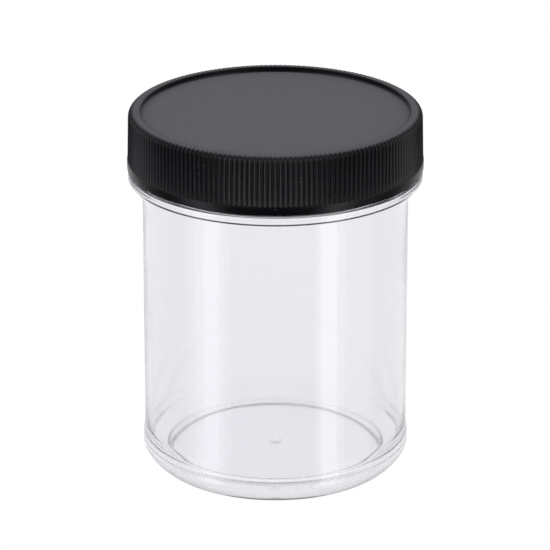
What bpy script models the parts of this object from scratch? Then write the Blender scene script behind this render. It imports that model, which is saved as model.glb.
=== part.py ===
"""Clear straight-sided specimen jar with a ribbed black screw cap and a sealing liner.

Blender 4.5. Units are metres, +Z is up, and the origin is at the middle of the base, on the ground.
"""

import math

import bmesh
import bpy

MM = 0.001

# Turned pieces: segments round the axis, and down the heel
TURN_STEPS = 72
HEEL_STEPS = 6

# Jar body: a straight wall that thins upwards, so that the bore has draft
BODY_HEIGHT = 75.0 * MM  # ground to the underside of the flange
BODY_RADIUS = 32.8 * MM
WALL_FOOT = 1.3 * MM
WALL_TOP = 1.05 * MM
FLOOR_HEIGHT = 4.6 * MM  # ground to the inside floor
FLOOR_FILLET_REACH = 4.2 * MM
FLOOR_FILLET_RISE = 3.6 * MM

# Jar foot: a shallow bead, a rounded heel, and a recess inside the standing ring
FOOT_PROUD = 0.4 * MM
FOOT_TOP = 11.0 * MM
FOOT_BLEND = 4.0 * MM
HEEL_REACH = 4.9 * MM
HEEL_HEIGHT = 5.0 * MM
HEEL_FULLNESS = 1.4  # 1 is a straight chamfer, 2 is an ellipse
STANDING_WIDTH = 0.7 * MM
BASE_RECESS = 2.3 * MM
BASE_RECESS_SLOPE = 0.8 * MM
GATE_RADIUS = 1.6 * MM
GATE_DROP = 0.5 * MM

# Flange under the cap
FLANGE_REACH = 3.5 * MM  # from the wall
FLANGE_THICKNESS = 1.9 * MM
FLANGE_EDGE = 0.35 * MM

# Neck and its thread: right-hand, continuous
NECK_HEIGHT = 10.7 * MM  # top of the flange to the rim
NECK_PROUD = 0.55 * MM  # from the wall
NECK_WALL = 1.55 * MM
RIM_ROUND = 0.5 * MM
THREAD_PITCH = 25.4 * MM / 6
THREAD_ABOVE_FLANGE = 3.3 * MM
THREAD_DEPTH = 1.2 * MM
THREAD_ROOT_WIDTH = 2.2 * MM
THREAD_CREST_WIDTH = 1.0 * MM
THREAD_BELOW_RIM = 1.2 * MM
THREAD_LEAD_ANGLE = math.radians(30)
THREAD_EMBED = 0.4 * MM

# Screw cap
SKIRT_CLEARANCE = 0.35 * MM  # thread crest to the skirt's bore
SKIRT_GAP = 0.8 * MM  # flange to the skirt's lower edge
SKIRT_WALL = 0.95 * MM  # behind the ribs
BAND_PROUD = 0.2 * MM
BAND_HEIGHT = 2.1 * MM
BAND_EDGE = 0.3 * MM
RIB_COUNT = 180
RIB_DEPTH = 0.45 * MM
SHOULDER_REACH = 1.9 * MM
SHOULDER_HEIGHT = 1.6 * MM
TOP_RING_WIDTH = 1.3 * MM
TOP_RECESS = 1.3 * MM
TOP_RECESS_SLOPE = 0.2 * MM
TOP_PLATE = 1.7 * MM
CAP_THREAD_ABOVE_EDGE = 1.2 * MM
CAP_THREAD_DEPTH = 1.1 * MM
CAP_THREAD_ROOT_WIDTH = 1.6 * MM
CAP_THREAD_CREST_WIDTH = 0.8 * MM
FLANK_CLEARANCE = 0.3 * MM

# Liner and the gaps that separate pieces keep
LINER_THICKNESS = 1.0 * MM
LINER_CLEARANCE = 0.35 * MM
FACE_GAP = 0.3 * MM

# Sizes that follow
BORE_FOOT_RADIUS = BODY_RADIUS - WALL_FOOT
BORE_TOP_RADIUS = BODY_RADIUS - WALL_TOP
FOOT_RADIUS = BODY_RADIUS + FOOT_PROUD
FLANGE_RADIUS = BODY_RADIUS + FLANGE_REACH
NECK_RADIUS = BODY_RADIUS + NECK_PROUD
MOUTH_RADIUS = NECK_RADIUS - NECK_WALL
FLANGE_TOP = BODY_HEIGHT + FLANGE_THICKNESS
RIM_TOP = FLANGE_TOP + NECK_HEIGHT
LINER_BOTTOM = RIM_TOP + FACE_GAP
ROOF_HEIGHT = LINER_BOTTOM + LINER_THICKNESS + FACE_GAP
CAP_TOP = ROOF_HEIGHT + TOP_PLATE + TOP_RECESS
CAP_BOTTOM = FLANGE_TOP + SKIRT_GAP
THREAD_CREST_RADIUS = NECK_RADIUS + THREAD_DEPTH
SKIRT_BORE_RADIUS = THREAD_CREST_RADIUS + SKIRT_CLEARANCE
RIB_CREST_RADIUS = SKIRT_BORE_RADIUS + SKIRT_WALL + RIB_DEPTH
BAND_RADIUS = RIB_CREST_RADIUS + BAND_PROUD
LINER_RADIUS = SKIRT_BORE_RADIUS - LINER_CLEARANCE
THREAD_TOP = RIM_TOP - THREAD_BELOW_RIM - THREAD_ROOT_WIDTH / 2
THREAD_MID_WIDTH = (THREAD_ROOT_WIDTH + THREAD_CREST_WIDTH) / 2
CAP_THREAD_MID_WIDTH = (CAP_THREAD_ROOT_WIDTH + CAP_THREAD_CREST_WIDTH) / 2
THREAD_SHIFT = (THREAD_MID_WIDTH + CAP_THREAD_MID_WIDTH) / 2 + FLANK_CLEARANCE
THREAD_RISE = THREAD_TOP - FLANGE_TOP - THREAD_ABOVE_FLANGE
CAP_THREAD_RISE = THREAD_TOP - THREAD_SHIFT - CAP_BOTTOM - CAP_THREAD_ABOVE_EDGE


def clear_scene():
    for obj in list(bpy.data.objects):
        bpy.data.objects.remove(obj, do_unlink=True)


def add_collection(name):
    collection = bpy.data.collections.new(name)
    bpy.context.scene.collection.children.link(collection)
    return collection


def add_material(name, color, roughness, transmission=0.0):
    material = bpy.data.materials.new(name)
    material.use_nodes = True
    material.diffuse_color = (*color, 1.0)
    shader = material.node_tree.nodes["Principled BSDF"]
    shader.inputs["Base Color"].default_value = (*color, 1.0)
    shader.inputs["Roughness"].default_value = roughness
    shader.inputs["Metallic"].default_value = 0.0
    shader.inputs["Transmission Weight"].default_value = transmission
    return material


def add_object(name, mesh, collection, height=0.0):
    obj = bpy.data.objects.new(name, mesh)
    obj.location.z = height
    collection.objects.link(obj)
    return obj


def arc(centre_radius, centre_height, reach, rise, start, end, count):
    """Points (radius, height) on a quarter or so of an ellipse, angles in degrees."""
    points = []
    for i in range(count + 1):
        angle = math.radians(start + (end - start) * i / count)
        points.append((centre_radius + reach * math.cos(angle), centre_height + rise * math.sin(angle)))
    return points


def turn(name, outline, collection, height=0.0):
    """A solid of revolution from an outline that starts and ends on the axis, outer side downwards."""
    mesh = bpy.data.meshes.new(name)
    edges = [(i, i + 1) for i in range(len(outline) - 1)]
    mesh.from_pydata([(radius, 0.0, z - height) for radius, z in outline], edges, [])
    obj = add_object(name, mesh, collection, height)
    screw = obj.modifiers.new("turn", "SCREW")
    screw.axis = "Z"
    screw.angle = 2 * math.pi
    screw.steps = TURN_STEPS
    screw.render_steps = TURN_STEPS
    screw.use_merge_vertices = True
    screw.merge_threshold = 0.00001
    return obj


def add_boolean(obj, other, operation):
    boolean = obj.modifiers.new(operation.lower(), "BOOLEAN")
    boolean.operation = operation
    boolean.object = other
    boolean.solver = "EXACT"


def as_helper(obj):
    obj.hide_render = True
    obj.display_type = "WIRE"
    return obj


def finish_piece(obj, material, parent=None):
    """Applies the modifiers, shades the round faces smooth and gives the piece its material."""
    bpy.context.view_layer.update()
    evaluated = obj.evaluated_get(bpy.context.evaluated_depsgraph_get())
    mesh = bpy.data.meshes.new_from_object(evaluated)
    obj.modifiers.clear()
    obj.data = mesh
    mesh.materials.clear()
    mesh.materials.append(material)
    mesh.shade_smooth()
    mesh.set_sharp_from_angle(angle=math.radians(30))
    if parent:
        obj.parent = parent


def thread_height(angle):
    """Height of the middle of the neck's thread; it ends at angle 0 and rises anticlockwise."""
    return THREAD_TOP + THREAD_PITCH * angle / (2 * math.pi)


def add_ridge(name, collection, base, tip, base_width, tip_width, rise, drop):
    """A helical ridge from radius base to radius tip, sunk into the wall and fading out at both ends."""
    into_wall = math.copysign(1, base - tip)
    buried = base + into_wall * THREAD_EMBED
    faded = base + into_wall * THREAD_EMBED / 2
    step = 2 * math.pi / TURN_STEPS
    sections = round(rise / THREAD_PITCH * TURN_STEPS)
    bm = bmesh.new()
    rings = []
    for i in range(sections + 1):
        angle = (i - sections + 0.5) * step  # between the wall's own edges
        from_end = min(i, sections - i) * step
        grown = min(1.0, from_end / THREAD_LEAD_ANGLE)
        edge = faded + (tip - faded) * grown
        middle = thread_height(angle) - drop
        corners = (
            (buried, -base_width / 2),
            (edge, -tip_width / 2),
            (edge, tip_width / 2),
            (buried, base_width / 2),
        )
        ring = []
        for radius, offset in corners:
            ring.append(bm.verts.new((radius * math.cos(angle), radius * math.sin(angle), middle + offset)))
        rings.append(ring)
    for lower, upper in zip(rings, rings[1:]):
        for i in range(4):
            j = (i + 1) % 4
            bm.faces.new((lower[i], lower[j], upper[j], upper[i]))
    bm.faces.new(rings[0])
    bm.faces.new(rings[-1])
    bmesh.ops.recalc_face_normals(bm, faces=bm.faces)
    mesh = bpy.data.meshes.new(name)
    bm.to_mesh(mesh)
    bm.free()
    return as_helper(add_object(name, mesh, collection))


def add_spline(curve, points):
    spline = curve.splines.new("POLY")
    spline.points.add(len(points) - 1)
    for point, (x, y) in zip(spline.points, points):
        point.co = (x, y, 0.0, 1.0)
    spline.use_cyclic_u = True


def circle_points(count, radius_of):
    points = []
    for i in range(count):
        angle = 2 * math.pi * i / count
        points.append((radius_of(i) * math.cos(angle), radius_of(i) * math.sin(angle)))
    return points


def add_grip_cutter(collection):
    """A ring whose bore is the ribbed outline: it trims the cap down to its grip ribs."""
    low = CAP_BOTTOM + BAND_HEIGHT
    high = CAP_TOP + BAND_HEIGHT
    curve = bpy.data.curves.new("grip_outline", "CURVE")
    curve.dimensions = "2D"
    curve.fill_mode = "BOTH"
    curve.extrude = (high - low) / 2
    add_spline(curve, circle_points(TURN_STEPS, lambda i: BAND_RADIUS + BAND_HEIGHT))
    add_spline(curve, circle_points(2 * RIB_COUNT, lambda i: RIB_CREST_RADIUS - RIB_DEPTH * (i % 2)))
    outline = add_object("grip_outline", curve, collection, (high + low) / 2)
    bpy.context.view_layer.update()
    evaluated = outline.evaluated_get(bpy.context.evaluated_depsgraph_get())
    mesh = bpy.data.meshes.new_from_object(evaluated)
    bm = bmesh.new()
    bm.from_mesh(mesh)
    bmesh.ops.remove_doubles(bm, verts=bm.verts, dist=0.000001)
    bmesh.ops.recalc_face_normals(bm, faces=bm.faces)
    bm.to_mesh(mesh)
    bm.free()
    cutter = add_object("grip_cutter", mesh, collection)
    cutter.matrix_world = outline.matrix_world
    bpy.data.objects.remove(outline)
    return as_helper(cutter)


def heel_curve(ring_outer):
    """The rounded heel, from the top of its curve down and in to the standing ring."""
    points = []
    for i in range(HEEL_STEPS + 1):
        turned = math.pi / 2 * i / HEEL_STEPS
        across = max(math.cos(turned), 0.0) ** (2 / HEEL_FULLNESS)
        down = math.sin(turned) ** (2 / HEEL_FULLNESS)
        points.append((ring_outer + HEEL_REACH * across, HEEL_HEIGHT * (1 - down)))
    return points


def jar_outline():
    outline = [(0.0, FLOOR_HEIGHT)]
    floor_radius = BORE_FOOT_RADIUS - FLOOR_FILLET_REACH
    fillet_top = FLOOR_HEIGHT + FLOOR_FILLET_RISE
    outline += arc(floor_radius, fillet_top, FLOOR_FILLET_REACH, FLOOR_FILLET_RISE, -90, 0, 4)
    rounding = RIM_TOP - RIM_ROUND
    outline += [(BORE_TOP_RADIUS, BODY_HEIGHT), (MOUTH_RADIUS, FLANGE_TOP)]
    outline += arc(MOUTH_RADIUS + RIM_ROUND, rounding, RIM_ROUND, RIM_ROUND, 180, 90, 2)
    outline += arc(NECK_RADIUS - RIM_ROUND, rounding, RIM_ROUND, RIM_ROUND, 90, 0, 2)
    outline += [
        (NECK_RADIUS, FLANGE_TOP),
        (FLANGE_RADIUS - FLANGE_EDGE, FLANGE_TOP),
        (FLANGE_RADIUS, FLANGE_TOP - FLANGE_EDGE),
        (FLANGE_RADIUS, BODY_HEIGHT + FLANGE_EDGE),
        (FLANGE_RADIUS - FLANGE_EDGE, BODY_HEIGHT),
        (BODY_RADIUS + FLANGE_EDGE, BODY_HEIGHT),
        (BODY_RADIUS, BODY_HEIGHT - FLANGE_EDGE),
        (BODY_RADIUS, FOOT_TOP),
        (FOOT_RADIUS, FOOT_TOP - FOOT_BLEND),
    ]
    ring_outer = FOOT_RADIUS - HEEL_REACH
    ring_inner = ring_outer - STANDING_WIDTH
    outline += heel_curve(ring_outer)
    outline += [
        (ring_inner, 0.0),
        (ring_inner - BASE_RECESS_SLOPE, BASE_RECESS),
        (GATE_RADIUS, BASE_RECESS),
        (GATE_RADIUS, BASE_RECESS - GATE_DROP),
        (0.0, BASE_RECESS - GATE_DROP),
    ]
    return outline


def cap_outline():
    ring_outer = RIB_CREST_RADIUS - SHOULDER_REACH
    ring_inner = ring_outer - TOP_RING_WIDTH
    shoulder_low = CAP_TOP - SHOULDER_HEIGHT
    outline = [
        (0.0, CAP_TOP - TOP_RECESS),
        (ring_inner - TOP_RECESS_SLOPE, CAP_TOP - TOP_RECESS),
        (ring_inner, CAP_TOP),
    ]
    outline += arc(ring_outer, shoulder_low, BAND_RADIUS - ring_outer, SHOULDER_HEIGHT, 90, 0, 4)
    outline += [
        (BAND_RADIUS, CAP_BOTTOM + BAND_EDGE),
        (BAND_RADIUS - BAND_EDGE, CAP_BOTTOM),
        (SKIRT_BORE_RADIUS + BAND_EDGE, CAP_BOTTOM),
        (SKIRT_BORE_RADIUS, CAP_BOTTOM + BAND_EDGE),
        (SKIRT_BORE_RADIUS, ROOF_HEIGHT),
        (0.0, ROOF_HEIGHT),
    ]
    return outline


def liner_outline():
    return [
        (0.0, LINER_BOTTOM + LINER_THICKNESS),
        (LINER_RADIUS, LINER_BOTTOM + LINER_THICKNESS),
        (LINER_RADIUS, LINER_BOTTOM),
        (0.0, LINER_BOTTOM),
    ]


def make_jar(parts, cutters):
    jar = turn("jar_body", jar_outline(), parts)
    thread = add_ridge(
        "neck_thread",
        cutters,
        NECK_RADIUS,
        THREAD_CREST_RADIUS,
        THREAD_ROOT_WIDTH,
        THREAD_CREST_WIDTH,
        THREAD_RISE,
        0.0,
    )
    add_boolean(jar, thread, "UNION")
    finish_piece(jar, add_material("clear_polystyrene", (0.86, 0.87, 0.89), 0.05, 0.9))


def make_cap(parts, cutters, axis):
    cap = turn("screw_cap", cap_outline(), parts, CAP_BOTTOM)
    add_boolean(cap, add_grip_cutter(cutters), "DIFFERENCE")
    thread = add_ridge(
        "cap_thread",
        cutters,
        SKIRT_BORE_RADIUS,
        SKIRT_BORE_RADIUS - CAP_THREAD_DEPTH,
        CAP_THREAD_ROOT_WIDTH,
        CAP_THREAD_CREST_WIDTH,
        CAP_THREAD_RISE,
        THREAD_SHIFT,
    )
    add_boolean(cap, thread, "UNION")
    finish_piece(cap, add_material("black_polypropylene", (0.025, 0.024, 0.027), 0.45), axis)


def make_liner(parts, axis):
    liner = turn("cap_liner", liner_outline(), parts, LINER_BOTTOM)
    finish_piece(liner, add_material("white_foam", (0.88, 0.88, 0.86), 0.7), axis)


def main():
    clear_scene()
    parts = add_collection("specimen_jar")
    cutters = add_collection("cutters")
    axis = add_object("lid_axis", None, parts)
    make_jar(parts, cutters)
    make_cap(parts, cutters, axis)
    make_liner(parts, axis)


main()
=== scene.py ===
"""The looks of the specimen jar: clear jar body, ribbed black cap, foam liner, floor, lights and camera."""

import math

import bpy
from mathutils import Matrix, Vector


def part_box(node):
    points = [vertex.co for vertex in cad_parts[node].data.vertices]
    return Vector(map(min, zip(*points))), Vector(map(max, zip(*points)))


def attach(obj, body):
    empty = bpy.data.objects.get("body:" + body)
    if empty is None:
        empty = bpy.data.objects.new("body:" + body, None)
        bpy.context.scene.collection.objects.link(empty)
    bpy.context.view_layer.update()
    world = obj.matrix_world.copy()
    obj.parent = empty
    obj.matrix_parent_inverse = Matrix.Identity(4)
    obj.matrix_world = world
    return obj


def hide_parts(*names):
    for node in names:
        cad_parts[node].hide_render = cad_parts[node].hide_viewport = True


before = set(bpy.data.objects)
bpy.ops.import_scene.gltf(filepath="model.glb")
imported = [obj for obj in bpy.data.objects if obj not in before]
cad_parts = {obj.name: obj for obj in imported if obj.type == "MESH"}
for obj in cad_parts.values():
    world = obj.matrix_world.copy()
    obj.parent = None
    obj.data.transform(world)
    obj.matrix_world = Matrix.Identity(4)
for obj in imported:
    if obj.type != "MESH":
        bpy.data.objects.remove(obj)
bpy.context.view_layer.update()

MM = 0.001

# The frame's own places: everything below is worked out from these boxes
JAR_LOW, JAR_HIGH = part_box("jar_body")
CAP_LOW, CAP_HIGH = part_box("screw_cap")
LINER_LOW, LINER_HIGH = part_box("cap_liner")
FLANGE_RADIUS = JAR_HIGH[0]
RIM_TOP = JAR_HIGH[2]
BAND_RADIUS = CAP_HIGH[0]
CAP_BOTTOM = CAP_LOW[2]
CAP_TOP = CAP_HIGH[2]
LINER_RADIUS = LINER_HIGH[0]
LINER_BOTTOM = LINER_LOW[2]
LINER_TOP = LINER_HIGH[2]

# Jar body
BODY_RADIUS = FLANGE_RADIUS - 3.5 * MM
FOOT_PROUD = 0.4 * MM
FOOT_RADIUS = BODY_RADIUS + FOOT_PROUD
NECK_RADIUS = BODY_RADIUS + 0.55 * MM
MOUTH_RADIUS = NECK_RADIUS - 1.55 * MM
BORE_TOP_RADIUS = BODY_RADIUS - 1.05 * MM
BORE_FOOT_RADIUS = BODY_RADIUS - 1.3 * MM
FLANGE_TOP = CAP_BOTTOM - 0.8 * MM
FLANGE_BOTTOM = FLANGE_TOP - 1.9 * MM
FLANGE_EDGE = 0.5 * MM
FLANGE_LOWER_EDGE = 0.05 * MM
FLANGE_UNDER = 1.5 * MM
FLANGE_FILLET = 0.35 * MM
RIM_ROUND = 0.5 * MM
FLOOR_HEIGHT = 4.6 * MM
FLOOR_RADIUS = 27.3 * MM
FILLET_TOP = 8.2 * MM
FOOT_TOP = 11.0 * MM
FOOT_BLEND = 4.0 * MM
HEEL_HEIGHT = 5.0 * MM
HEEL_FULLNESS = 1.4
STANDING_OUTER = FOOT_RADIUS - 4.9 * MM
STANDING_INNER = STANDING_OUTER - 0.7 * MM
BASE_RECESS = 2.3 * MM
BASE_RECESS_SLOPE = 0.8 * MM
GATE_RADIUS = 1.6 * MM
GATE_DROP = 0.5 * MM

# Threads: right-hand, six to the inch, ending at their top on +X
PITCH = 25.4 * MM / 6
THREAD_DEPTH = 1.2 * MM
THREAD_ROOT_WIDTH = 2.2 * MM
THREAD_CREST_WIDTH = 1.0 * MM
THREAD_TOP = RIM_TOP - 1.2 * MM - THREAD_ROOT_WIDTH / 2
THREAD_RISE = THREAD_TOP - FLANGE_TOP - 3.3 * MM
THREAD_LEAD_ANGLE = math.radians(30)
CAP_THREAD_DEPTH = 1.1 * MM
CAP_THREAD_ROOT_WIDTH = 1.6 * MM
CAP_THREAD_CREST_WIDTH = 0.8 * MM
CAP_THREAD_TOP = THREAD_TOP - 1.7 * MM
CAP_THREAD_RISE = CAP_THREAD_TOP - CAP_BOTTOM - 1.2 * MM

# Cap
BORE_RADIUS = NECK_RADIUS + THREAD_DEPTH + 0.35 * MM
ROOF_HEIGHT = LINER_TOP + 0.3 * MM
BAND_HEIGHT = 2.1 * MM
BAND_EDGE = 0.15 * MM
RIB_COUNT = 180
RIB_DEPTH = 0.45 * MM
RIB_FOOT_RADIUS = BAND_RADIUS - 0.12 * MM
RIB_HEAD_RADIUS = BAND_RADIUS - 0.36 * MM
RIB_FOOT = CAP_BOTTOM + BAND_HEIGHT
RIB_FOOT_BLEND = 0.25 * MM
BAND_TOP_EDGE = 0.12 * MM
SHOULDER_HEIGHT = 1.6 * MM
RING_OUTER = BAND_RADIUS - 2.1 * MM
RING_INNER = RING_OUTER - 1.3 * MM
RECESS_DEPTH = 1.3 * MM
RECESS_FILLET = 0.35 * MM
RECESS_EDGE = 0.2 * MM
ROOF_FILLET = 0.2 * MM

# Segments round the axis
PLAIN_SEGMENTS = 288
RIB_SAMPLES = 8

# Studio
FLOOR_SIZE = 4.0
FLOOR_GLOW = 0.98
SOFTBOX_HEIGHT = 1.6
PLAIN_WORLD = (0.95, 0.95, 0.96)
DARK_FRONT = (0.06, 0.058, 0.072)
BRIGHT_BACK = (0.80, 0.80, 0.83)
DARK_BELOW = (0.04, 0.04, 0.05)
DARK_ABOVE = (0.09, 0.09, 0.10)
BRIGHT_SIDES = (0.85, 0.85, 0.88)
LENS = 249.0
CAMERA_DISTANCE = 26.0 * BAND_RADIUS
CAMERA_ELEVATION = math.radians(21.55)
CAMERA_PIVOT = 1.2 * BAND_RADIUS
AIM_ABOVE_PIVOT = 0.13 * BAND_RADIUS
AIM_ASIDE = -0.1 * MM


def arc(centre_radius, centre_height, reach, rise, start, end, count):
    """Points (radius, height) along part of an ellipse, angles in degrees."""
    points = []
    for i in range(count + 1):
        angle = math.radians(start + (end - start) * i / count)
        points.append((centre_radius + reach * math.cos(angle), centre_height + rise * math.sin(angle)))
    return points


def line(start, end, count):
    """Points from start to end, leaving out the start."""
    points = []
    for i in range(1, count + 1):
        t = i / count
        points.append((start[0] + (end[0] - start[0]) * t, start[1] + (end[1] - start[1]) * t))
    return points


def smoothstep(t):
    t = min(max(t, 0.0), 1.0)
    return t * t * (3 - 2 * t)


def ridge(angle, height, top, rise, root_width, crest_width):
    """From 0 to 1, how far up a helical thread's ridge this point is. It ends at angle 0, at its top."""
    sweep = rise / PITCH * 2 * math.pi
    flank = (root_width - crest_width) / 2
    most = 0.0
    turned = angle % (2 * math.pi) - 2 * math.pi
    while turned > -sweep:
        middle = top + PITCH * turned / (2 * math.pi)
        across = (root_width / 2 - abs(height - middle)) / flank
        from_end = min(-turned, turned + sweep) / THREAD_LEAD_ANGLE
        most = max(most, smoothstep(across) * smoothstep(from_end))
        turned -= 2 * math.pi
    return most


class Lathe:
    """A closed mesh made of rings round the Z axis, added in order from one pole to the other."""

    def __init__(self):
        self.verts = []
        self.faces = []
        self.ring = None

    def add_pole(self, height):
        self.verts.append((0.0, 0.0, height))
        self.join([len(self.verts) - 1])

    def add_ring(self, count, radius_at, height):
        """radius_at takes the angle, or is one radius for the whole ring."""
        first = len(self.verts)
        for i in range(count):
            angle = 2 * math.pi * i / count
            radius = radius_at(angle) if callable(radius_at) else radius_at
            self.verts.append((radius * math.cos(angle), radius * math.sin(angle), height))
        self.join(list(range(first, first + count)))

    def join(self, ring):
        last = self.ring
        self.ring = ring
        if last is None:
            return
        coarse = min(len(last), len(ring))
        if coarse == 1:
            coarse = max(len(last), len(ring))
        for i in range(coarse):
            above = self.span(last, i, coarse)
            below = self.span(ring, i, coarse)
            self.faces.append(below + above[::-1])

    @staticmethod
    def span(ring, i, coarse):
        """The vertices of ring that face segment i of a ring of coarse segments."""
        if len(ring) == 1:
            return [ring[0]]
        step = len(ring) // coarse
        return [ring[(i * step + k) % len(ring)] for k in range(step + 1)]

    def build(self, name, sharp_degrees=35):
        mesh = bpy.data.meshes.new(name)
        mesh.from_pydata(self.verts, [], self.faces)
        mesh.validate()
        obj = bpy.data.objects.new(name, mesh)
        bpy.context.scene.collection.objects.link(obj)
        mesh.shade_smooth()
        mesh.set_sharp_from_angle(angle=math.radians(sharp_degrees))
        return obj


# ---------------------------------------------------------------- pieces


def jar_inside():
    """Half section of the inside, from the middle of the floor up to the top of the rim."""
    inner = line((0.0, FLOOR_HEIGHT), (FLOOR_RADIUS, FLOOR_HEIGHT), 8)[:-1]
    reach = BORE_FOOT_RADIUS - FLOOR_RADIUS
    inner += arc(FLOOR_RADIUS, FILLET_TOP, reach, FILLET_TOP - FLOOR_HEIGHT, -90, 0, 20)
    inner += line(inner[-1], (BORE_TOP_RADIUS, FLANGE_BOTTOM), 14)
    inner += line(inner[-1], (MOUTH_RADIUS, FLANGE_TOP), 2)
    rounding = RIM_TOP - RIM_ROUND
    inner += line(inner[-1], (MOUTH_RADIUS, rounding), 3)[:-1]
    inner += arc(MOUTH_RADIUS + RIM_ROUND, rounding, RIM_ROUND, RIM_ROUND, 180, 90, 6)
    inner += arc(NECK_RADIUS - RIM_ROUND, rounding, RIM_ROUND, RIM_ROUND, 90, 0, 6)
    return inner


def jar_outside():
    """Half section of the outside, from the foot of the neck down and in to the middle of the base."""
    fillet = FLANGE_FILLET
    outer = arc(NECK_RADIUS + fillet, FLANGE_TOP + fillet, fillet, fillet, 180, 270, 4)[1:]
    edge = FLANGE_EDGE
    outer += arc(FLANGE_RADIUS - edge, FLANGE_TOP - edge, edge, edge, 90, 0, 6)
    edge = FLANGE_LOWER_EDGE
    outer += arc(FLANGE_RADIUS - edge, FLANGE_BOTTOM + edge, edge, edge, 0, -90, 6)
    fillet = FLANGE_UNDER
    outer += arc(BODY_RADIUS + fillet, FLANGE_BOTTOM - fillet, fillet, fillet, 90, 180, 5)
    outer += line(outer[-1], (BODY_RADIUS, FOOT_TOP), 14)
    for i in range(1, 9):
        t = i / 8
        outer.append((BODY_RADIUS + (FOOT_RADIUS - BODY_RADIUS) * smoothstep(t), FOOT_TOP - FOOT_BLEND * t))
    reach = FOOT_RADIUS - STANDING_OUTER
    for i in range(25):
        turn = math.pi / 2 * i / 24
        radius = STANDING_OUTER + reach * max(math.cos(turn), 0.0) ** (2 / HEEL_FULLNESS)
        outer.append((radius, HEEL_HEIGHT - HEEL_HEIGHT * math.sin(turn) ** (2 / HEEL_FULLNESS)))
    outer += [(STANDING_INNER, 0.0)]
    for i in range(1, 15):
        t = i / 14
        outer.append((STANDING_INNER - BASE_RECESS_SLOPE * t, BASE_RECESS * smoothstep(t)))
    outer += line(outer[-1], (GATE_RADIUS, BASE_RECESS), 6)
    outer.append((GATE_RADIUS * 0.9, BASE_RECESS - GATE_DROP * 0.8))
    outer.append((GATE_RADIUS * 0.7, BASE_RECESS - GATE_DROP))
    return outer


def make_jar():
    lathe = Lathe()
    lathe.add_pole(FLOOR_HEIGHT)
    for radius, height in jar_inside():
        lathe.add_ring(PLAIN_SEGMENTS, radius, height)

    def neck_radius(height):
        def radius_at(angle):
            grown = ridge(angle, height, THREAD_TOP, THREAD_RISE, THREAD_ROOT_WIDTH, THREAD_CREST_WIDTH)
            return NECK_RADIUS + THREAD_DEPTH * grown

        return radius_at

    neck = line((NECK_RADIUS, RIM_TOP - RIM_ROUND), (NECK_RADIUS, FLANGE_TOP + FLANGE_FILLET), 60)
    for _, height in neck:
        lathe.add_ring(PLAIN_SEGMENTS, neck_radius(height), height)
    for radius, height in jar_outside():
        lathe.add_ring(PLAIN_SEGMENTS, radius, height)
    lathe.add_pole(jar_outside()[-1][1])
    return lathe.build("clear_jar_body")


def rib_profile(angle):
    """0 on a rib's crest, 1 in the valley beside it: round ribs a little narrower than their valleys."""
    return 1 - (0.5 + 0.5 * math.cos(RIB_COUNT * angle)) ** 1.2


def make_cap():
    lathe = Lathe()
    recess = CAP_TOP - RECESS_DEPTH
    lathe.add_pole(recess)
    fillet = RECESS_FILLET
    top = line((0.0, recess), (RING_INNER - fillet, recess), 8)[:-1]
    top += arc(RING_INNER - fillet, recess + fillet, fillet, fillet, -90, 0, 6)
    edge = RECESS_EDGE
    top += arc(RING_INNER + edge, CAP_TOP - edge, edge, edge, 180, 90, 5)
    for radius, height in top:
        lathe.add_ring(PLAIN_SEGMENTS, radius, height)

    def ribbed(crest, depth):
        return lambda angle: crest - depth * rib_profile(angle)

    fine = RIB_COUNT * RIB_SAMPLES
    shoulder_low = CAP_TOP - SHOULDER_HEIGHT
    shoulder = arc(RING_OUTER, shoulder_low, RIB_HEAD_RADIUS - RING_OUTER, SHOULDER_HEIGHT, 90, 0, 14)
    for i, (radius, height) in enumerate(shoulder):
        grown = smoothstep(i / 4)
        lathe.add_ring(fine, ribbed(radius, RIB_DEPTH * grown), height)
    for radius, height in line(shoulder[-1], (RIB_FOOT_RADIUS, RIB_FOOT + RIB_FOOT_BLEND), 5):
        lathe.add_ring(fine, ribbed(radius, RIB_DEPTH), height)
    for i in range(1, 5):
        t = i / 4
        fading = ribbed(RIB_FOOT_RADIUS, RIB_DEPTH * (1 - smoothstep(t)))
        lathe.add_ring(fine, fading, RIB_FOOT + RIB_FOOT_BLEND * (1 - t))
    edge = BAND_TOP_EDGE
    band = arc(BAND_RADIUS - edge, RIB_FOOT - edge, edge, edge, 90, 0, 3)[1:]
    edge = BAND_EDGE
    band += arc(BAND_RADIUS - edge, CAP_BOTTOM + edge, edge, edge, 0, -90, 5)
    for radius, height in band:
        lathe.add_ring(fine, radius, height)
    inside = arc(BORE_RADIUS + edge, CAP_BOTTOM + edge, edge, edge, 270, 180, 5)
    for radius, height in inside:
        lathe.add_ring(PLAIN_SEGMENTS, radius, height)

    def bore_radius(height):
        def radius_at(angle):
            widths = CAP_THREAD_ROOT_WIDTH, CAP_THREAD_CREST_WIDTH
            grown = ridge(angle, height, CAP_THREAD_TOP, CAP_THREAD_RISE, *widths)
            return BORE_RADIUS - CAP_THREAD_DEPTH * grown

        return radius_at

    bore = line(inside[-1], (BORE_RADIUS, ROOF_HEIGHT - 0.5 * MM), 64)
    for _, height in bore:
        lathe.add_ring(PLAIN_SEGMENTS, bore_radius(height), height)
    fillet = ROOF_FILLET
    roof = arc(BORE_RADIUS - fillet, ROOF_HEIGHT - fillet, fillet, fillet, 0, 90, 4)
    roof += line(roof[-1], (0.0, ROOF_HEIGHT), 8)[:-1]
    for radius, height in roof:
        lathe.add_ring(PLAIN_SEGMENTS, radius, height)
    lathe.add_pole(ROOF_HEIGHT)
    return lathe.build("ribbed_cap")


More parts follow.
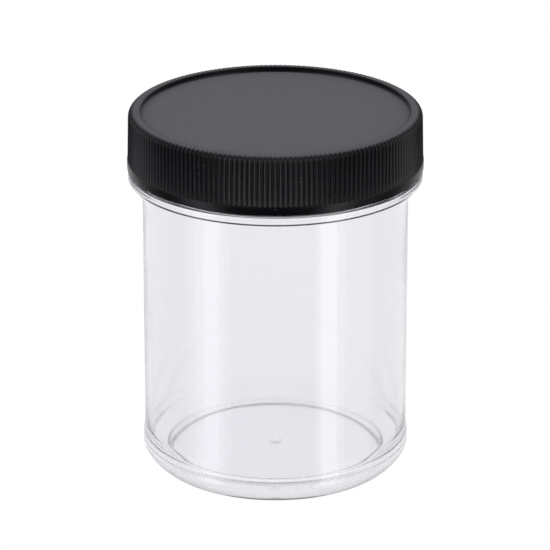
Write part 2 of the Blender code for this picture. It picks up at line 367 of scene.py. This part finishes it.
def make_liner():
    lathe = Lathe()
    lathe.add_pole(LINER_TOP)
    edge = 0.25 * MM
    sheet = line((0.0, LINER_TOP), (LINER_RADIUS - edge, LINER_TOP), 10)[:-1]
    sheet += arc(LINER_RADIUS - edge, LINER_TOP - edge, edge, edge, 90, 0, 4)
    sheet += arc(LINER_RADIUS - edge, LINER_BOTTOM + edge, edge, edge, 0, -90, 4)
    sheet += line(sheet[-1], (0.0, LINER_BOTTOM), 10)[:-1]
    for radius, height in sheet:
        lathe.add_ring(PLAIN_SEGMENTS, radius, height)
    lathe.add_pole(LINER_BOTTOM)
    return lathe.build("foam_liner")


# ---------------------------------------------------------------- materials


class Nodes:
    """A material's node tree with short names for what the materials below need."""

    def __init__(self, name):
        self.material = bpy.data.materials.new(name)
        self.material.use_nodes = True
        self.tree = self.material.node_tree
        self.shader = self.tree.nodes["Principled BSDF"]
        self.coordinates = self.add("ShaderNodeTexCoord").outputs["Object"]

    def add(self, kind, **settings):
        node = self.tree.nodes.new(kind)
        for key, value in settings.items():
            setattr(node, key, value)
        return node

    def link(self, source, target):
        self.tree.links.new(source, target)

    def noise(self, size, detail=2.0, roughness=0.5, vector=None):
        """Noise whose blobs are about size metres across."""
        node = self.add("ShaderNodeTexNoise")
        node.inputs["Scale"].default_value = 1.0 / size
        node.inputs["Detail"].default_value = detail
        node.inputs["Roughness"].default_value = roughness
        self.link(vector or self.coordinates, node.inputs["Vector"])
        return node.outputs["Fac"]

    def stretch(self, x, y, z):
        node = self.add("ShaderNodeMapping")
        node.inputs["Scale"].default_value = (x, y, z)
        self.link(self.coordinates, node.inputs["Vector"])
        return node.outputs["Vector"]

    def ramp(self, source, low, high, out_low=0.0, out_high=1.0):
        node = self.add("ShaderNodeMapRange", clamp=True)
        node.inputs["From Min"].default_value = low
        node.inputs["From Max"].default_value = high
        node.inputs["To Min"].default_value = out_low
        node.inputs["To Max"].default_value = out_high
        self.link(source, node.inputs["Value"])
        return node.outputs["Result"]

    def math(self, operation, a, b):
        node = self.add("ShaderNodeMath", operation=operation)
        for socket, value in zip(node.inputs, (a, b)):
            if isinstance(value, (int, float)):
                socket.default_value = value
            else:
                self.link(value, socket)
        return node.outputs[0]

    def mix(self, factor, first, second):
        node = self.add("ShaderNodeMix", data_type="RGBA")
        self.link(factor, node.inputs[0])
        for socket, value in ((node.inputs[6], first), (node.inputs[7], second)):
            if isinstance(value, tuple):
                socket.default_value = (*value, 1.0)
            else:
                self.link(value, socket)
        return node.outputs[2]

    def bump(self, height, distance, strength):
        node = self.add("ShaderNodeBump")
        node.inputs["Distance"].default_value = distance
        node.inputs["Strength"].default_value = strength
        self.link(height, node.inputs["Height"])
        return node.outputs["Normal"]

    def specks(self, size, share):
        """1 inside small specks about size metres across, which sit in about this share of the cells."""
        cells = self.add("ShaderNodeTexVoronoi")
        cells.inputs["Scale"].default_value = 1.0 / (size * 6)
        self.link(self.coordinates, cells.inputs["Vector"])
        near = self.ramp(cells.outputs["Distance"], 0.06, 0.10, 1.0, 0.0)
        split = self.add("ShaderNodeSeparateColor")
        self.link(cells.outputs["Color"], split.inputs[0])
        chosen = self.math("LESS_THAN", split.outputs[0], share)
        return self.math("MULTIPLY", near, chosen)


def clear_polystyrene():
    nodes = Nodes("clear_polystyrene")
    shader = nodes.shader
    shader.inputs["Base Color"].default_value = (0.926, 0.921, 0.947, 1.0)
    shader.inputs["Transmission Weight"].default_value = 1.0
    shader.inputs["IOR"].default_value = 1.59
    smears = nodes.noise(14 * MM, 3.0, 0.55)
    scuffs = nodes.ramp(nodes.noise(0.35 * MM, 4.0, 0.7, nodes.stretch(1.0, 1.0, 0.25)), 0.62, 0.78)
    polish = nodes.ramp(smears, 0.35, 0.7, 0.045, 0.080)
    rough = nodes.math("ADD", polish, nodes.math("MULTIPLY", scuffs, 0.05))
    nodes.link(rough, shader.inputs["Roughness"])
    flow = nodes.noise(16 * MM, 1.0, 0.4, nodes.stretch(1.0, 1.0, 0.45))
    nodes.link(nodes.bump(flow, 0.05 * MM, 0.6), shader.inputs["Normal"])
    return nodes.material


def black_polypropylene():
    nodes = Nodes("black_polypropylene")
    shader = nodes.shader
    split = nodes.add("ShaderNodeSeparateXYZ")
    nodes.link(nodes.coordinates, split.inputs[0])
    height = split.outputs["Z"]
    across = nodes.math("MULTIPLY", split.outputs["X"], split.outputs["X"])
    deep = nodes.math("MULTIPLY", split.outputs["Y"], split.outputs["Y"])
    radius = nodes.math("SQRT", nodes.math("ADD", across, deep), 0.0)

    # The top panel and the ring round it are frosted, and painted a lighter grey as painted light from
    # above; the recess wall between them is smooth and left dark as painted shade
    panel = nodes.ramp(radius, RING_INNER - 0.40 * MM, RING_INNER - 0.15 * MM, 1.0, 0.0)
    ring = nodes.ramp(radius, RING_INNER + 0.10 * MM, RING_INNER + 0.30 * MM)
    shoulder = nodes.ramp(radius, RING_OUTER + 0.1 * MM, RING_OUTER + 0.9 * MM, 0.85, 0.0)
    ring = nodes.math("MULTIPLY", ring, shoulder)
    outside = nodes.ramp(height, ROOF_HEIGHT + 0.1 * MM, ROOF_HEIGHT + 0.3 * MM)
    top = nodes.math("MULTIPLY", nodes.math("ADD", panel, ring), outside)

    # The crests of the ribs are painted lighter as a painted highlight; the valleys and the plain band keep
    # the darker colour, which in the valleys is painted shade
    crest = nodes.ramp(radius, BAND_RADIUS - 0.50 * MM, BAND_RADIUS - 0.26 * MM)
    crest = nodes.math("MULTIPLY", crest, nodes.ramp(height, RIB_FOOT, RIB_FOOT + 0.3 * MM))

    cloud = nodes.noise(11 * MM, 3.0, 0.55)
    grain = nodes.noise(0.30 * MM, 3.0, 0.65)
    dust = nodes.specks(0.14 * MM, 0.07)
    smooth = nodes.mix(cloud, (0.0012, 0.0011, 0.0018), (0.0022, 0.0020, 0.0030))
    # Painted highlight: the lighter colour on the rib crests; the darker colour left in the valleys is
    # painted shade
    crest_painted_highlight = nodes.mix(cloud, (0.0110, 0.0108, 0.0122), (0.0200, 0.0195, 0.0222))
    # Painted light: the frosted top's grey colour stands in for the light falling on it from above; the
    # grain variation in it is real
    frosted_painted_light = nodes.mix(nodes.ramp(grain, 0.3, 0.7), (0.068, 0.066, 0.075), (0.142, 0.139, 0.156))
    plain = nodes.mix(top, nodes.mix(crest, smooth, crest_painted_highlight), frosted_painted_light)
    nodes.link(nodes.mix(dust, plain, (0.22, 0.22, 0.23)), shader.inputs["Base Color"])
    satin = nodes.ramp(cloud, 0.3, 0.7, 0.25, 0.29)
    nodes.link(nodes.math("ADD", satin, nodes.math("MULTIPLY", top, 0.25)), shader.inputs["Roughness"])
    shader.inputs["IOR"].default_value = 1.49
    shader.inputs["Specular IOR Level"].default_value = 0.22
    rise = nodes.math("MULTIPLY", grain, nodes.ramp(top, 0.0, 1.0, 0.25, 1.0))
    nodes.link(nodes.bump(rise, 0.035 * MM, 0.8), shader.inputs["Normal"])
    return nodes.material


def white_foam():
    nodes = Nodes("white_foam")
    shader = nodes.shader
    cells = nodes.noise(0.30 * MM, 2.0, 0.6)
    cloud = nodes.noise(8 * MM, 2.0, 0.5)
    nodes.link(nodes.mix(cloud, (0.80, 0.80, 0.78), (0.88, 0.88, 0.86)), shader.inputs["Base Color"])
    nodes.link(nodes.ramp(cells, 0.3, 0.7, 0.6, 0.8), shader.inputs["Roughness"])
    nodes.link(nodes.bump(cells, 0.03 * MM, 1.0), shader.inputs["Normal"])
    return nodes.material


def pale_floor():
    """A white light table: it glows evenly, and what falls on it adds a little shade of its own."""
    nodes = Nodes("pale_floor")
    shader = nodes.shader
    cloud = nodes.noise(0.4, 2.0, 0.5)
    nodes.link(nodes.mix(cloud, (0.034, 0.034, 0.034), (0.038, 0.038, 0.038)), shader.inputs["Base Color"])
    shader.inputs["Roughness"].default_value = 0.9
    shader.inputs["Specular IOR Level"].default_value = 0.0
    shader.inputs["Emission Color"].default_value = (1.0, 1.0, 1.0, 1.0)
    shader.inputs["Emission Strength"].default_value = FLOOR_GLOW
    return nodes.material


# ---------------------------------------------------------------- stage


def make_floor():
    below = (0, 0, -0.05 * MM)
    bpy.ops.mesh.primitive_circle_add(vertices=96, radius=FLOOR_SIZE, fill_type="NGON", location=below)
    floor = bpy.context.object
    floor.name = "studio_floor"
    floor.data.materials.append(pale_floor())
    floor.visible_glossy = False


def aim(obj, target):
    direction = [target[i] - obj.location[i] for i in range(3)]
    length = math.sqrt(sum(d * d for d in direction))
    level = math.hypot(direction[0], direction[1])
    pitch = math.acos(-direction[2] / length)
    heading = math.atan2(-direction[0], direction[1]) if level else 0.0
    obj.rotation_euler = (pitch, 0.0, heading)


def add_softbox(name, azimuth, distance, width, brightness, colour):
    """A tall soft light level with the jar's middle, azimuth degrees to the right of the camera."""
    light = bpy.data.lights.new(name, "AREA")
    light.shape = "RECTANGLE"
    light.size = width
    light.size_y = SOFTBOX_HEIGHT
    light.energy = brightness * math.pi * width * SOFTBOX_HEIGHT
    light.color = colour
    obj = bpy.data.objects.new(name, light)
    obj.visible_camera = False
    obj.visible_transmission = False
    turn = math.radians(azimuth)
    middle = (JAR_HIGH[2] + JAR_LOW[2]) / 2
    obj.location = (distance * math.sin(turn), -distance * math.cos(turn), middle)
    bpy.context.scene.collection.objects.link(obj)
    aim(obj, (0.0, 0.0, middle))


def make_lights():
    """Three nested softboxes on each side, so that their streaks fade at the edges, and the surroundings.

    Mirror reflections see a dark front, a bright back and bright sides; all other light is plain and even.
    """
    add_softbox("left_softbox", -60, 1.12, 0.86, 0.45, (0.86, 0.92, 1.0))
    add_softbox("left_middle", -59, 1.09, 0.54, 0.65, (0.90, 0.95, 1.0))
    add_softbox("left_core", -57, 1.06, 0.26, 0.80, (0.92, 0.96, 1.0))
    add_softbox("right_softbox", 62, 1.12, 1.20, 0.35, (0.92, 0.95, 1.0))
    add_softbox("right_middle", 49, 1.09, 0.50, 0.60, (0.95, 0.95, 1.0))
    add_softbox("right_core", 47, 1.06, 0.28, 1.20, (1.0, 1.0, 0.98))
    world = bpy.data.worlds.new("studio")
    world.use_nodes = True
    bpy.context.scene.world = world
    tree = world.node_tree
    background = tree.nodes["Background"]
    background.inputs["Strength"].default_value = 1.0
    coordinates = tree.nodes.new("ShaderNodeTexCoord")
    split = tree.nodes.new("ShaderNodeSeparateXYZ")
    tree.links.new(coordinates.outputs["Generated"], split.inputs[0])

    def fade(source, start, end, first, second):
        """A colour or link that goes from first to second as source goes from start to end."""
        amount = tree.nodes.new("ShaderNodeMapRange")
        amount.inputs["From Min"].default_value = start
        amount.inputs["From Max"].default_value = end
        tree.links.new(source, amount.inputs["Value"])
        mix = tree.nodes.new("ShaderNodeMix")
        mix.data_type = "RGBA"
        tree.links.new(amount.outputs["Result"], mix.inputs[0])
        for socket, value in ((mix.inputs[6], first), (mix.inputs[7], second)):
            if isinstance(value, tuple):
                socket.default_value = (*value, 1.0)
            else:
                tree.links.new(value, socket)
        return mix.outputs[2]

    low = fade(split.outputs["Y"], 0.10, 0.75, DARK_FRONT, BRIGHT_BACK)
    low = fade(split.outputs["Z"], -0.68, -0.42, DARK_BELOW, low)
    aside = tree.nodes.new("ShaderNodeMath")
    aside.operation = "ABSOLUTE"
    tree.links.new(split.outputs["X"], aside.inputs[0])
    high = fade(aside.outputs[0], 0.10, 0.36, DARK_ABOVE, BRIGHT_SIDES)
    surround = fade(split.outputs["Z"], -0.10, 0.10, low, high)
    path = tree.nodes.new("ShaderNodeLightPath")
    final = tree.nodes.new("ShaderNodeMix")
    final.data_type = "RGBA"
    final.inputs[6].default_value = (*PLAIN_WORLD, 1.0)
    reflected = tree.nodes.new("ShaderNodeMath")
    reflected.operation = "SUBTRACT"
    reflected.use_clamp = True
    tree.links.new(path.outputs["Is Glossy Ray"], reflected.inputs[0])
    tree.links.new(path.outputs["Is Transmission Ray"], reflected.inputs[1])
    tree.links.new(reflected.outputs[0], final.inputs[0])
    tree.links.new(surround, final.inputs[7])
    tree.links.new(final.outputs[2], background.inputs["Color"])
    bpy.context.scene.view_settings.view_transform = "Standard"
    bpy.context.scene.view_settings.exposure = 0.0


def let_light_through():
    """Light bounces many times inside clear walls, so it gets more turns than Blender gives it at first."""
    cycles = bpy.context.scene.cycles
    cycles.max_bounces = 28
    cycles.glossy_bounces = 20
    cycles.transmission_bounces = 28


def make_camera():
    """The camera looks down a little over 21 degrees from about a metre off."""
    camera = bpy.data.objects.new("camera", bpy.data.cameras.new("camera"))
    camera.data.sensor_width = 36.0
    camera.data.lens = LENS
    camera.data.clip_start = 0.05
    back = CAMERA_DISTANCE * math.cos(CAMERA_ELEVATION)
    camera.location = (0.0, -back, CAMERA_PIVOT + CAMERA_DISTANCE * math.sin(CAMERA_ELEVATION))
    bpy.context.scene.collection.objects.link(camera)
    aim(camera, (AIM_ASIDE, 0.0, CAMERA_PIVOT + AIM_ABOVE_PIVOT))
    bpy.context.scene.camera = camera


def main():
    jar = make_jar()
    jar.data.materials.append(clear_polystyrene())
    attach(jar, "jar")
    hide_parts("jar_body")

    cap = make_cap()
    cap.data.materials.append(black_polypropylene())
    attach(cap, "cap")
    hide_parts("screw_cap")

    liner = make_liner()
    liner.data.materials.append(white_foam())
    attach(liner, "liner")
    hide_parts("cap_liner")

    make_floor()
    make_lights()
    let_light_through()
    make_camera()


main()


def plain(bounds):
    return [[float(value) for value in corner] for corner in bounds]
